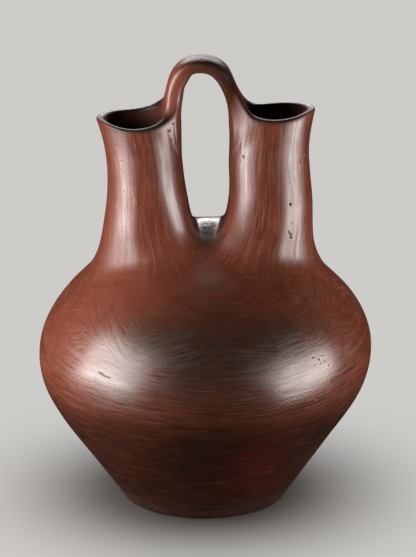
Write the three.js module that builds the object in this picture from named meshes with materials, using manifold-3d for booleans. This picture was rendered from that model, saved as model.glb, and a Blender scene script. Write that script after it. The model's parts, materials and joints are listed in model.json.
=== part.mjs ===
// Wedding vase: a round-bellied jar that closes to two spouts, whose rims are
// joined by one arched strap handle. Millimetres, +Z up. The origin is the
// middle of the foot, on the surface the vase stands on. The spouts stand side
// by side along X; Y runs from the near side to the far side.
//
// The clay members are separate closed bodies: foot, four coil-built courses of
// wall, the web between the spouts, two spouts, two rim coils and the handle with
// its two tongues. Each luted seam is a thin gap between matching faces.

import * as THREE from 'three';
import { ParametricGeometry } from 'three/addons/geometries/ParametricGeometry.js';
import { mergeVertices } from 'three/addons/utils/BufferGeometryUtils.js';
import Module from 'manifold-3d';

// ---------------------------------------------------------------- dimensions
const SEAM = 0.3;            // slip layer between two luted members
const WALL = 6.0;            // wall of the body
const SPOUT_WALL = 5.6;      // wall of the spouts and rims
const FLOOR = 8.0;           // clay under the cavity

// outside of the body: radius at height, foot to crown
const BODY_PROFILE = [
  [57.0, 0], [65.2, 12], [74.0, 25], [84.5, 40], [95.0, 55], [105.0, 70],
  [111.3, 82], [114.9, 94], [115.9, 105], [115.0, 116], [111.4, 127],
  [105.2, 138], [96.6, 148.5], [86.0, 157.5], [70.0, 166.5], [50.0, 173.5],
  [26.0, 178], [0.0, 179.5],
];
// the body leans a little: its axis along X at each height
const LEAN_Z = [0, 30, 55, 80, 105, 125, 150, 175, 220];
const LEAN_X = [-0.7, -1.4, -2.0, -1.2, 0, 0.9, 1.6, 1.6, 1.6];
const DEPTH_RATIO = 0.985;   // depth of the body against its width

const BASE_SEAM_Z = 12;      // foot to lower wall
const LOWER_SEAM_Z = 50;     // lower wall to middle wall
const MIDDLE_SEAM_Z = 88;    // middle wall to belly wall
const BELLY_SEAM_Z = 122;    // belly wall to shoulder wall
const SHOULDER_SEAM_Z = 149; // shoulder wall to spouts and web
const WEB_SEAM_X = 9;        // web to spouts, each side of the middle
const LIP_SEAM_Z = 262;      // spouts to rim coils
const BEVEL = 2.0;           // slope of the lapped body seams

// spouts: X of the outer and the gap side, and half depth, at heights
const SPOUT_Z = [150, 165, 180, 195, 210, 225, 240, 255, 268, 280];
const LEFT_OUTER = [-84, -77.6, -73.4, -70.8, -68.8, -67.5, -67.7, -69.7, -73.2, -77.6];
const LEFT_INNER = [10.0, 8.0, 3.2, -6.3, -10.9, -13.6, -15.6, -16.9, -18.0, -18.7];
const LEFT_DEPTH = [36, 33, 30.5, 28.5, 27.5, 27, 26.6, 26.5, 26.8, 27.2];
const RIGHT_OUTER = [86, 80, 75.8, 74.5, 74.4, 73.4, 71.8, 71.4, 73.0, 75.4];
const RIGHT_INNER = [-7.0, -5.0, 0.2, 10.6, 15.2, 16.5, 15.9, 16.8, 17.7, 17.9];
const RIGHT_DEPTH = [36, 33, 30.5, 28.5, 27.2, 26.4, 25.4, 24.8, 24.4, 24.4];
// how square the tubes' sections are: 2 is an oval
const SQUARE_Z = [150, 180, 195, 210, 225, 240, 280];
const SQUARE = [2.3, 2.9, 3.0, 2.6, 2.25, 2.1, 2.0];
const LEFT_BACK_SQUARE = 2.1, RIGHT_BACK_SQUARE = 2.5;   // at most this on the far side
const SPOUT_ROOT_Z = 158;    // the tubes fade into the body below this
const OUTER_SQUARE = 2.0;    // the halves that face away from the handle are oval
// rim heights along X, on the near and the far half of each mouth
const LEFT_RIM_X = [-76, -70, -64, -58, -49, -40, -34, -29, -24, -20, -17];
const LEFT_RIM_NEAR = [274.0, 273.4, 272.4, 271.3, 270.6, 271.2, 272.4, 274.1, 276.6, 280.2, 284.5];
const LEFT_RIM_FAR = [273.2, 272.7, 272.4, 272.0, 272.1, 273.9, 276.6, 280.4, 285.0, 289.5, 293.0];
const RIGHT_RIM_X = [20, 23.6, 26.4, 29.5, 33, 38, 45, 54, 62, 68, 76];
const RIGHT_RIM_NEAR = [294.0, 289.0, 285.0, 281.0, 278.4, 277.1, 276.4, 276.7, 277.8, 279.2, 280.6];
const RIGHT_RIM_FAR = [290.5, 285.6, 281.8, 278.8, 277.2, 276.5, 276.7, 277.5, 278.2, 278.8, 279.6];

// web between the spouts: height of its ridge from the near to the far side
const WEB_Y = [-40, -32, -25, -18, -10, 0, 8, 15, 21, 27, 33, 40];
const WEB_Z = [153, 168, 179, 186.0, 190.6, 194.6, 196.4, 196.4, 194, 187, 174, 156];

// strap handle: X, Z of its middle line, half thickness, half width
const HANDLE = [
  [-18.9, 232, 1.2, 4], [-20, 248, 1.8, 8.5], [-22.1, 262, 2.8, 13.5], [-23.7, 276, 4.2, 13.2],
  [-22, 288, 5.5, 12], [-19.8, 296, 6.1, 11.8], [-16.4, 303.2, 6.4, 12], [-11.3, 308.5, 5.6, 12.2],
  [-3.6, 310.1, 5.3, 12.3], [4.2, 308.9, 5.4, 12.2], [10.9, 303.9, 5.6, 12], [15.2, 296.2, 4.8, 11.8],
  [18.8, 287.6, 3.9, 12], [22.3, 276, 4.2, 13.2], [22.6, 262, 3.2, 13.5], [20.8, 248, 2, 8.5],
  [19.4, 232, 1.2, 4],
];
const STRAP_SQUARE = 3.0;    // how square the strap's section is
const TONGUE_Z = 252;        // lower end of the handle's tongues
const TONGUE_HALF = 9;       // half width of a tongue at its lower end
const STRAP_HALF = 12.2;     // half width of a tongue where it leaves the rim
const STRAP_Z = 286;

// radii of the modelled fillets
const BLEND_BODY = 26, BLEND_SPOUTS = 12, BLEND_WEB = 9, BLEND_HANDLE = 15;

// tessellation
const TURN = 60;             // segments round the body
const SPOUT_TURN = 34;       // segments round a spout
const RIM_TURN = 44;         // segments round a rim
const STRAP_TURN = 20;       // segments round the strap

// -------------------------------------------------------------- curve helpers
class NaturalSpline {
  constructor(xs, ys) {
    const n = xs.length;
    this.x = xs; this.y = ys; this.m = new Array(n).fill(0);
    const c = new Array(n).fill(0), d = new Array(n).fill(0);
    for (let i = 1; i < n - 1; i++) {
      const h0 = xs[i] - xs[i - 1], h1 = xs[i + 1] - xs[i];
      const r = 6 * ((ys[i + 1] - ys[i]) / h1 - (ys[i] - ys[i - 1]) / h0);
      const w = 2 * (h0 + h1) - h0 * c[i - 1];
      c[i] = h1 / w;
      d[i] = (r - h0 * d[i - 1]) / w;
    }
    for (let i = n - 2; i > 0; i--) this.m[i] = d[i] - c[i] * this.m[i + 1];
  }
  at(v) {
    const { x, y, m } = this, n = x.length;
    let i = 0;
    while (i < n - 2 && v > x[i + 1]) i++;
    const h = x[i + 1] - x[i];
    const c = Math.min(Math.max(v, x[0]), x[n - 1]);
    const a = (x[i + 1] - c) / h, b = (c - x[i]) / h;
    const f = a * y[i] + b * y[i + 1] + ((a ** 3 - a) * m[i] + (b ** 3 - b) * m[i + 1]) * h * h / 6;
    const s = (y[i + 1] - y[i]) / h + ((1 - 3 * a * a) * m[i] + (3 * b * b - 1) * m[i + 1]) * h / 6;
    return f + s * (v - c);
  }
}
const clamp = (v, a, b) => Math.min(Math.max(v, a), b);
function blend(a, b, k) {
  const h = Math.max(k - Math.abs(a - b), 0) / k;
  return Math.min(a, b) - h * h * h * k / 6;
}

// ---------------------------------------------------- the modelled clay surface
// body: signed distance to the turned profile
const arc = [0], pr = [], pz = [];
{
  const pts = BODY_PROFILE.map((p) => p.slice());
  for (let i = BODY_PROFILE.length - 2; i > BODY_PROFILE.length - 6; i--) {
    pts.push([-BODY_PROFILE[i][0], BODY_PROFILE[i][1]]);
  }
  for (let i = 1; i < pts.length; i++) {
    arc.push(arc[i - 1] + Math.hypot(pts[i][0] - pts[i - 1][0], pts[i][1] - pts[i - 1][1]));
  }
  for (const p of pts) { pr.push(p[0]); pz.push(p[1]); }
}
const profR = new NaturalSpline(arc, pr), profZ = new NaturalSpline(arc, pz);
const arcEnd = arc[BODY_PROFILE.length - 1];
const profile = [];
for (let i = 0; i <= 150; i++) {
  const s = -12 + (arcEnd + 12) * i / 150;
  profile.push([profR.at(s), profZ.at(s)]);
}
const lean = new NaturalSpline(LEAN_Z, LEAN_X);
function bodyDistance(x, y, z) {
  const r = Math.hypot(x - lean.at(clamp(z, 0, 200)), y / DEPTH_RATIO);
  let best = 1e9, side = 1;
  for (let i = 0; i < profile.length - 1; i++) {
    const [r0, z0] = profile[i], [r1, z1] = profile[i + 1];
    const dr = r1 - r0, dz = z1 - z0;
    const t = clamp(((r - r0) * dr + (z - z0) * dz) / (dr * dr + dz * dz), 0, 1);
    const er = r - r0 - t * dr, ez = z - z0 - t * dz, d = er * er + ez * ez;
    if (d < best) { best = d; side = er * dz - ez * dr; }
  }
  return Math.sign(side || 1) * Math.sqrt(best);
}
// distance to a rounded section with half sizes a and b
function oval(u, v, a, b, p) {
  const U = Math.abs(u) / a, V = Math.abs(v) / b;
  const k = (U ** p + V ** p + 1e-12) ** (1 / p);
  return (k - 1) / Math.hypot((U / k) ** (p - 1) / a, (V / k) ** (p - 1) / b, 1e-6);
}
const square = new NaturalSpline(SQUARE_Z, SQUARE);
// spouts: oval tubes
function tubeOf(outer, inner, depth, backSquare) {
  const o = new NaturalSpline(SPOUT_Z, outer), i = new NaturalSpline(SPOUT_Z, inner);
  const b = new NaturalSpline(SPOUT_Z, depth);
  return {
    middle: (z) => (o.at(z) + i.at(z)) / 2,
    distance: (x, y, z) => {
      const h = clamp(z, 135, 292);
      const c = (o.at(h) + i.at(h)) / 2, a = Math.abs(o.at(h) - i.at(h)) / 2, w = b.at(h);
      const f = clamp((y + 8) / 16, 0, 1), p = square.at(h);
      const q = p + (Math.min(p, backSquare) - p) * f * f * (3 - 2 * f);
      const g = clamp((Math.sign(o.at(200) - i.at(200)) * (x - c) / a + 0.1) / 0.6, 0, 1);
      const r = q + (OUTER_SQUARE - q) * g * g * (3 - 2 * g);
      return -blend(-oval(x - c, y, a, w, r), z - SPOUT_ROOT_Z, 20);
    },
  };
}
const leftTube = tubeOf(LEFT_OUTER, LEFT_INNER, LEFT_DEPTH, LEFT_BACK_SQUARE);
const rightTube = tubeOf(RIGHT_OUTER, RIGHT_INNER, RIGHT_DEPTH, RIGHT_BACK_SQUARE);
const ridge = new NaturalSpline(WEB_Y, WEB_Z);
function webDistance(x, y, z) {
  const slope = (ridge.at(y + 0.1) - ridge.at(y - 0.1)) / 0.2;
  const d = (z - ridge.at(y)) / Math.hypot(1, slope) + Math.max(Math.abs(x) - 40, 0);
  return -blend(-d, z - SPOUT_ROOT_Z, 20);
}
function outside(x, y, z) {
  let d = blend(leftTube.distance(x, y, z), rightTube.distance(x, y, z), BLEND_SPOUTS);
  d = blend(d, webDistance(x, y, z), BLEND_WEB);
  return blend(bodyDistance(x, y, z), d, BLEND_BODY);
}
// the rims rise towards the handle
const rims = [[LEFT_RIM_X, LEFT_RIM_NEAR], [LEFT_RIM_X, LEFT_RIM_FAR], [RIGHT_RIM_X, RIGHT_RIM_NEAR],
  [RIGHT_RIM_X, RIGHT_RIM_FAR]].map(([x, z]) => new NaturalSpline(x, z));
function rimHeight(x, y) {
  const f = clamp((y + 8) / 16, 0, 1), w = f * f * (3 - 2 * f);
  const xs = x < 0 ? LEFT_RIM_X : RIGHT_RIM_X, k = x < 0 ? 0 : 2;
  const u = clamp(x, xs[0], xs[xs.length - 1]);
  return rims[k].at(u) * (1 - w) + rims[k + 1].at(u) * w;
}
// handle: oval strap along its middle line
const strapArc = [0];
for (let i = 1; i < HANDLE.length; i++) {
  strapArc.push(strapArc[i - 1] + Math.hypot(HANDLE[i][0] - HANDLE[i - 1][0], HANDLE[i][1] - HANDLE[i - 1][1]));
}
const strapLine = [0, 1, 2, 3].map((k) => new NaturalSpline(strapArc, HANDLE.map((p) => p[k])));
const strapEnd = strapArc[strapArc.length - 1];
const strapPoints = [];
for (let i = 0; i <= 100; i++) strapPoints.push(strapLine.map((c) => c.at(strapEnd * i / 100)));
function strapDistance(x, y, z) {
  let best = 1e9, at = null;
  for (let i = 0; i < strapPoints.length - 1; i++) {
    const p = strapPoints[i], q = strapPoints[i + 1];
    const dx = q[0] - p[0], dz = q[1] - p[1];
    const t = clamp(((x - p[0]) * dx + (z - p[1]) * dz) / (dx * dx + dz * dz), 0, 1);
    const n = Math.hypot(x - p[0] - t * dx, z - p[1] - t * dz);
    if (n < best) { best = n; at = [p[2] + t * (q[2] - p[2]), p[3] + t * (q[3] - p[3])]; }
  }
  const [a, b] = at;
  return oval(best, y, a, b, STRAP_SQUARE);
}
function clay(x, y, z) {
  const t = z > 200 ? SPOUT_WALL : WALL;
  const m = outside(x, y, z) + t / 2, h = z - rimHeight(x, y) + t / 2;
  const shell = h > 0 ? Math.hypot(m, h) - t / 2 : Math.abs(m) - t / 2;
  return blend(shell, strapDistance(x, y, z), BLEND_HANDLE * clamp((z - 238) / 30, 0.02, 1));
}
const cavity = (x, y, z) => outside(x, y, z) + (z > 200 ? SPOUT_WALL : z > 180 ? WALL + (SPOUT_WALL - WALL) * (z - 180) / 20 : WALL);

// -------------------------------------------------------------- solid helpers
const wasm = await Module();
wasm.setup();
function solid(geometry) {
  const g = geometry.clone();
  for (const name of Object.keys(g.attributes)) if (name !== 'position') g.deleteAttribute(name);
  const m = mergeVertices(g, 1e-4), idx = m.index.array, pos = m.attributes.position.array;
  const tri = [];
  let volume = 0;
  const P = (i) => new THREE.Vector3().fromArray(pos, 3 * i);
  for (let i = 0; i < idx.length; i += 3) {
    const [a, b, c] = [idx[i], idx[i + 1], idx[i + 2]];
    if (a === b || b === c || c === a) continue;
    tri.push(a, b, c);
    volume += P(a).dot(P(b).cross(P(c)));
  }
  if (volume < 0) for (let i = 0; i < tri.length; i += 3) [tri[i], tri[i + 1]] = [tri[i + 1], tri[i]];
  return new wasm.Manifold(new wasm.Mesh({
    numProp: 3, vertProperties: new Float32Array(pos), triVerts: new Uint32Array(tri),
  }));
}
function toGeometry(body) {
  const m = body.getMesh(), g = new THREE.BufferGeometry();
  const p = new Float32Array(m.vertProperties.length / m.numProp * 3);
  for (let i = 0; i < p.length / 3; i++) for (let k = 0; k < 3; k++) p[3 * i + k] = m.vertProperties[i * m.numProp + k];
  g.setAttribute('position', new THREE.BufferAttribute(p, 3));
  g.setIndex(new THREE.BufferAttribute(new Uint32Array(m.triVerts), 1));
  g.computeVertexNormals();
  return g;
}
// a closed body through a row of closed loops with equal counts
function loft(loops, closedRow = false) {
  const rows = loops.slice(), n = loops[0].length;
  const middle = (loop) => loop.reduce((s, p) => s.add(p), new THREE.Vector3()).divideScalar(n);
  if (closedRow) rows.push(loops[0]);
  else {
    rows.unshift(new Array(n).fill(middle(loops[0])));
    rows.push(new Array(n).fill(middle(loops[loops.length - 1])));
  }
  const last = rows.length - 1;
  return solid(new ParametricGeometry((u, v, out) => {
    out.copy(rows[Math.round(v * last)][Math.round(u * n) % n]);
  }, n, last));
}
// first crossing of a surface along a ray that starts inside it
function reach(f, o, d, limit) {
  let t = 0.4;
  const at = (s) => f(o.x + d.x * s, o.y + d.y * s, o.z + d.z * s);
  while (t < limit && at(t) < 0) t += 1.5;
  if (t >= limit && at(limit) < 0) return limit;
  let a = Math.max(t - 1.5, 0), b = Math.min(t, limit);
  for (let i = 0; i < 22; i++) { const m = (a + b) / 2; if (at(m) < 0) a = m; else b = m; }
  return a;
}

// --------------------------------------------------------- foot and body walls
// points of the outside profile between two heights
function outsidePoints(z0, z1, n) {
  const s0 = findArc(z0), s1 = findArc(z1), out = [];
  for (let i = 0; i <= n; i++) { const s = s0 + (s1 - s0) * i / n; out.push([profR.at(s), profZ.at(s)]); }
  return out;
}
function findArc(z) {
  let a = 0, b = arcEnd;
  for (let i = 0; i < 40; i++) { const m = (a + b) / 2; if (profZ.at(m) < z) a = m; else b = m; }
  return a;
}
function insideOf(p) {
  const s = findArc(p[1]), e = 0.01;
  const tr = profR.at(s + e) - profR.at(s - e), tz = profZ.at(s + e) - profZ.at(s - e), l = Math.hypot(tr, tz);
  return [p[0] - WALL * tz / l, p[1] + WALL * tr / l];
}
// the profile on the inside that ends at a given height
function insideEnd(z) {
  let a = z - 12, b = z + 12;
  for (let i = 0; i < 40; i++) { const m = (a + b) / 2; if (insideOf([profR.at(findArc(m)), m])[1] < z) a = m; else b = m; }
  return a;
}
function turned(points) {
  const g = new THREE.LatheGeometry(points.map(([r, z]) => new THREE.Vector2(r, z)), TURN);
  g.rotateX(Math.PI / 2);   // the lathe's own axis is Y
  const p = g.attributes.position;
  for (let i = 0; i < p.count; i++) {
    p.setXYZ(i, p.getX(i) + lean.at(clamp(p.getZ(i), 0, 200)), p.getY(i) * DEPTH_RATIO, p.getZ(i));
  }
  return solid(g);
}
const half = SEAM / 2;
function ring(zLow, zHigh, bevelLow, bevelHigh, n) {
  const outer = outsidePoints(zLow - bevelLow + half, zHigh - bevelHigh - half, n);
  const i0 = insideEnd(zLow + bevelLow + half), i1 = insideEnd(zHigh + bevelHigh - half);
  const inner = outsidePoints(i0, i1, n).map(insideOf).reverse();
  return turned([...outer, ...inner, outer[0]]);
}
const foot = (() => {
  const outer = outsidePoints(0, BASE_SEAM_Z - BEVEL - half, 3);
  outer[0] = [outer[0][0] - 0.4, 0];
  outer.splice(1, 0, [outer[0][0] + 1.3, 1.1]);
  const top = insideOf([profR.at(findArc(insideEnd(BASE_SEAM_Z + BEVEL - half))), insideEnd(BASE_SEAM_Z + BEVEL - half)]);
  return turned([[0, 0], ...outer, top, [top[0] - 3.2, FLOOR + 2.4], [top[0] - 9, FLOOR + 0.4], [top[0] - 16, FLOOR], [0, FLOOR]]);
})();
const lowerWall = ring(BASE_SEAM_Z, LOWER_SEAM_Z, BEVEL, BEVEL, 4);
const middleWall = ring(LOWER_SEAM_Z, MIDDLE_SEAM_Z, BEVEL, BEVEL, 4);
const bellyWall = ring(MIDDLE_SEAM_Z, BELLY_SEAM_Z, BEVEL, BEVEL, 4);
const shoulderWall = ring(BELLY_SEAM_Z, SHOULDER_SEAM_Z, BEVEL, 0, 4);

// ------------------------------------------------------------- spouts and web
function spoutBody(tube, sign, f, heights, turn) {
  const loops = heights.map((z) => {
    const c = tube.middle(clamp(z, 175, 292)) - sign * (z < 190 ? 4 : 0), o = new THREE.Vector3(c, 0, z), loop = [];
    for (let i = 0; i < turn; i++) {
      const a = 2 * Math.PI * i / turn, d = new THREE.Vector3(Math.cos(a), Math.sin(a), 0);
      // stop past the middle of the vase, inside the other spout
      const side = -sign * d.x, limit = side > 1e-6 ? Math.min(130, (Math.abs(c) + 13) / side) : 130;
      loop.push(o.clone().addScaledVector(d, reach(f, o, d, limit)));
    }
    return loop;
  });
  return loft(loops);
}
const OUTER_Z = [145, 150, 156, 162, 168, 174, 180, 186, 191, 195, 199, 204, 211, 220, 231, 243, 254, LIP_SEAM_Z - half];
const CAVITY_Z = [138, 146, 153, 160, 167, 174, 180, 185, 189, 194, 200, 209, 220, 232, 244, 254, 262, 272, 290];
function tongueCutter(sign, grow) {
  const s = new THREE.Shape();
  const slope = (STRAP_HALF - TONGUE_HALF) / (STRAP_Z - TONGUE_Z);
  const w0 = TONGUE_HALF - 0.3 * slope + grow, w1 = TONGUE_HALF + slope * (296 - TONGUE_Z) + grow;
  s.moveTo(-w0, TONGUE_Z - grow); s.lineTo(w0, TONGUE_Z - grow); s.lineTo(w1, 296); s.lineTo(-w1, 296); s.closePath();
  const g = new THREE.ExtrudeGeometry(s, { depth: 30, bevelEnabled: false });
  g.rotateX(Math.PI / 2); g.rotateZ(Math.PI / 2);   // width along Y, height along Z, depth along X
  g.computeBoundingBox();
  g.translate((sign < 0 ? -36 : 6) - g.boundingBox.min.x, 0, 0);
  return solid(g);
}
function spout(tube, sign) {
  let s = spoutBody(tube, sign, outside, OUTER_Z, SPOUT_TURN)
    .subtract(spoutBody(tube, sign, cavity, CAVITY_Z, SPOUT_TURN));
  s = s.trimByPlane([sign, 0, 0], WEB_SEAM_X + half).trimByPlane([0, 0, 1], SHOULDER_SEAM_Z + half);
  return s.subtract(tongueCutter(sign, SEAM));
}
const web = (() => {
  const stations = [-1, -0.62, -0.22, 0.22, 0.62, 1].map((k) => k * (WEB_SEAM_X - half));
  const n = 26, span = 1.18, loops = [];
  for (const x of stations) {
    const loop = [], o = new THREE.Vector3(x, 0, 112);
    for (const [f, flip] of [[outside, 1], [cavity, -1]]) {
      for (let i = 0; i <= n; i++) {
        const a = flip * span * (2 * i / n - 1), d = new THREE.Vector3(0, Math.sin(a), Math.cos(a));
        loop.push(o.clone().addScaledVector(d, reach(f, o, d, 140)));
      }
    }
    loops.push(loop);
  }
  // the end faces are cut flat, so close each end with a strip along the arch
  const rows = loops, m = loops[0].length, pos = [], idx = [];
  for (const loop of rows) for (const p of loop) pos.push(p.x, p.y, p.z);
  for (let r = 0; r < rows.length - 1; r++) {
    for (let j = 0; j < m; j++) {
      const a = r * m + j, b = r * m + (j + 1) % m, c = a + m, d = b + m;
      idx.push(a, b, d, a, d, c);
    }
  }
  for (const r of [0, rows.length - 1]) {
    for (let j = 0; j < n; j++) {
      const a = r * m + j, b = a + 1, c = r * m + (m - 1 - j), d = c - 1;
      if (r === 0) idx.push(a, d, b, a, c, d); else idx.push(a, b, d, a, d, c);
    }
  }
  const g = new THREE.BufferGeometry();
  g.setAttribute('position', new THREE.Float32BufferAttribute(pos, 3));
  g.setIndex(idx);
  return solid(g).trimByPlane([0, 0, 1], SHOULDER_SEAM_Z + half);
})();

// ---------------------------------------------------------------------- rims
function rim(tube, sign) {
  const loops = [], z0 = LIP_SEAM_Z + half, t = SPOUT_WALL, up = new THREE.Vector3(0, 0, 1);
  for (let i = 0; i < RIM_TURN; i++) {
    const a = 2 * Math.PI * i / RIM_TURN, d = new THREE.Vector3(Math.cos(a), Math.sin(a), 0);
    const at = (f, z) => {
      const o = new THREE.Vector3(tube.middle(z), 0, z);
      return o.clone().addScaledVector(d, reach(f, o, d, 60));
    };
    const mid = (x, y, z) => outside(x, y, z) + t / 2;
    let top = rimHeight(at(mid, 272).x, at(mid, 272).y) - t / 2;
    const m = at(mid, top), loop = [at(outside, z0), at(outside, (z0 + top) / 2), at(outside, top)];
    for (const k of [45, 90, 135]) {
      const r = THREE.MathUtils.degToRad(k);
      loop.push(m.clone().addScaledVector(d, Math.cos(r) * t / 2).addScaledVector(up, Math.sin(r) * t / 2));
    }
    loop.push(at(cavity, top), at(cavity, (z0 + top) / 2), at(cavity, z0));
    loops.push(loop);
  }
  return loft(loops, true).subtract(tongueCutter(sign, SEAM));
}

// -------------------------------------------------------------------- handle
const handle = (() => {
  const loops = [];
  const slope = (STRAP_HALF - TONGUE_HALF) / (STRAP_Z - TONGUE_Z);
  const first = (() => { let s = 0; while (strapLine[1].at(s) < TONGUE_Z) s += 0.05; return s; })();
  const last = (() => { let s = strapEnd; while (strapLine[1].at(s) < TONGUE_Z) s -= 0.05; return s; })();
  const n = 27;
  for (let i = 0; i < n; i++) {
    const s = first + (last - first) * i / (n - 1), e = 0.05;
    const o = new THREE.Vector3(strapLine[0].at(s), 0, strapLine[1].at(s));
    let tx = strapLine[0].at(s + e) - strapLine[0].at(s - e), tz = strapLine[1].at(s + e) - strapLine[1].at(s - e);
    const low = o.z < 275;
    if (low) { tx = 0; tz = Math.sign(tz); }
    const l = Math.hypot(tx, tz), nrm = new THREE.Vector3(tz / l, 0, -tx / l), loop = [];
    for (let j = 0; j < STRAP_TURN; j++) {
      const a = 2 * Math.PI * j / STRAP_TURN;
      const d = nrm.clone().multiplyScalar(Math.cos(a)).add(new THREE.Vector3(0, Math.sin(a), 0));
      const w = TONGUE_HALF + slope * (o.z - TONGUE_Z);
      const limit = Math.abs(d.y) > 1e-6 && o.z < 292 ? Math.min(40, w / Math.abs(d.y)) : 40;
      loop.push(o.clone().addScaledVector(d, reach(clay, o, d, limit)));
    }
    loops.push(loop);
  }
  return loft(loops);
})();

// ------------------------------------------------------------------ the vase
const clayMaterial = (color, roughness) => new THREE.MeshStandardMaterial({ color, roughness, metalness: 0 });
const vase = new THREE.Group();
function add(name, body, color, roughness = 0.38) {
  const mesh = new THREE.Mesh(toGeometry(body), clayMaterial(color, roughness));
  mesh.name = name;
  vase.add(mesh);
}
add('base', foot, 0x5a2a1e, 0.45);
add('lower_wall', lowerWall, 0x602d21);
add('middle_wall', middleWall, 0x632f22);
add('belly_wall', bellyWall, 0x673225);
add('shoulder_wall', shoulderWall, 0x6b3427);
add('spout_saddle', web, 0x6e382b);
add('left_spout', spout(leftTube, -1), 0x74392b);
add('right_spout', spout(rightTube, 1), 0x71382a);
add('left_lip', rim(leftTube, -1), 0x6a3427, 0.42);
add('right_lip', rim(rightTube, 1), 0x6a3427, 0.42);
add('bridge_handle', handle, 0x75402f, 0.36);

export default vase;
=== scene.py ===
import bpy, bmesh, json, math, time
import numpy as np
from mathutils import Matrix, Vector

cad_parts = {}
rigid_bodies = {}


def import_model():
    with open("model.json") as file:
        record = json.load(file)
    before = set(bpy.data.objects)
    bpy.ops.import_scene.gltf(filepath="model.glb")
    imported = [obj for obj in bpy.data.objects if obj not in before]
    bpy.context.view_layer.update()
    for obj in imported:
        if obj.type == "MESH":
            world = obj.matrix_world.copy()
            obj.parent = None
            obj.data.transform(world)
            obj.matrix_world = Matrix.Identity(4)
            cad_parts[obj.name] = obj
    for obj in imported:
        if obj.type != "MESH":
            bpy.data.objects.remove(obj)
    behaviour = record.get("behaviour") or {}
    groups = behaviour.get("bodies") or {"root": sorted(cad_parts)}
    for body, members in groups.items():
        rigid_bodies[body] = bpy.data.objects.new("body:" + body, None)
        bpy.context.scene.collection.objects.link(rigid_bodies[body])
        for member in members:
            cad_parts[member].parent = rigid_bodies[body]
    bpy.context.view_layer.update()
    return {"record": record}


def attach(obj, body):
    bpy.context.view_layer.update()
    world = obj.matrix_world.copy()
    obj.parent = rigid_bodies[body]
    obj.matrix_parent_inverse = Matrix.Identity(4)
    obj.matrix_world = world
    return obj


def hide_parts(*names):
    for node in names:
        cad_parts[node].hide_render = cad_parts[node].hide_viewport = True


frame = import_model()


T0 = time.time()


def note(text):
    print(f"[{time.time() - T0:6.1f}s] {text}", flush=True)


# ---------------------------------------------------------------- dimensions
# millimetres, the same values as the solid model's
BODY_PROFILE = [(57, 0), (65.2, 12), (74, 25), (84.5, 40), (95, 55), (105, 70), (111.3, 82), (114.9, 94),
                (115.9, 105), (115, 116), (111.4, 127), (105.2, 138), (96.6, 148.5), (86, 157.5), (70, 166.5),
                (50, 173.5), (26, 178), (0, 179.5)]
LEAN_Z = [0, 30, 55, 80, 105, 125, 150, 175, 220]
LEAN_X = [-0.7, -1.4, -2.0, -1.2, 0, 0.9, 1.6, 1.6, 1.6]
DEPTH_RATIO = 0.985
WALL, SPOUT_WALL, FLOOR = 6.0, 5.6, 8.0
SPOUT_Z = [150, 165, 180, 195, 210, 225, 240, 255, 268, 280]
LEFT_OUTER = [-84, -77.6, -73.4, -70.8, -68.8, -67.5, -67.7, -69.7, -73.2, -77.6]
LEFT_INNER = [10.0, 8.0, 3.2, -6.3, -10.9, -13.6, -15.6, -16.9, -18.0, -18.7]
LEFT_DEPTH = [36, 33, 30.5, 28.5, 27.5, 27, 26.6, 26.5, 26.8, 27.2]
RIGHT_OUTER = [86, 80, 75.8, 74.5, 74.4, 73.4, 71.8, 71.4, 73.0, 75.4]
RIGHT_INNER = [-7.0, -5.0, 0.2, 10.6, 15.2, 16.5, 15.9, 16.8, 17.7, 17.9]
RIGHT_DEPTH = [36, 33, 30.5, 28.5, 27.2, 26.4, 25.4, 24.8, 24.4, 24.4]
SQUARE_Z = [150, 180, 195, 210, 225, 240, 280]
SQUARE = [2.3, 2.9, 3.0, 2.6, 2.25, 2.1, 2.0]
LEFT_BACK_SQUARE, RIGHT_BACK_SQUARE = 2.1, 2.5
SPOUT_ROOT_Z = 158
# rim heights along X, on the near and the far half of each mouth
LEFT_RIM_X = [-76, -70, -64, -58, -49, -40, -34, -29, -24, -20, -17]
LEFT_RIM_NEAR = [274.0, 273.4, 272.4, 271.3, 270.6, 271.2, 272.4, 274.1, 276.6, 280.2, 284.5]
LEFT_RIM_FAR = [273.2, 272.7, 272.4, 272.0, 272.1, 273.9, 276.6, 280.4, 285.0, 289.5, 293.0]
RIGHT_RIM_X = [20, 23.6, 26.4, 29.5, 33, 38, 45, 54, 62, 68, 76]
RIGHT_RIM_NEAR = [294.0, 289.0, 285.0, 281.0, 278.4, 277.1, 276.4, 276.7, 277.8, 279.2, 280.6]
RIGHT_RIM_FAR = [290.5, 285.6, 281.8, 278.8, 277.2, 276.5, 276.7, 277.5, 278.2, 278.8, 279.6]
WEB_Y = [-40, -32, -25, -18, -10, 0, 8, 15, 21, 27, 33, 40]
WEB_Z = [153, 168, 179, 186.0, 190.6, 194.6, 196.4, 196.4, 194, 187, 174, 156]
HANDLE = [(-18.9, 232, 1.2, 4), (-20, 248, 1.8, 8.5), (-22.1, 262, 2.8, 13.5), (-23.7, 276, 4.2, 13.2),
          (-22, 288, 5.5, 12), (-19.8, 296, 6.1, 11.8), (-16.4, 303.2, 6.4, 12), (-11.3, 308.5, 5.6, 12.2),
          (-3.6, 310.1, 5.3, 12.3), (4.2, 308.9, 5.4, 12.2), (10.9, 303.9, 5.6, 12), (15.2, 296.2, 4.8, 11.8),
          (18.8, 287.6, 3.9, 12), (22.3, 276, 4.2, 13.2), (22.6, 262, 3.2, 13.5), (20.8, 248, 2, 8.5),
          (19.4, 232, 1.2, 4)]
STRAP_SQUARE, OUTER_SQUARE = 3.0, 2.0
BLEND_BODY, BLEND_SPOUTS, BLEND_WEB, BLEND_HANDLE = 26.0, 12.0, 9.0, 15.0
BASE_SEAM_Z, LOWER_SEAM_Z, MIDDLE_SEAM_Z, BELLY_SEAM_Z, SHOULDER_SEAM_Z = 12.0, 50.0, 88.0, 122.0, 149.0
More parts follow.
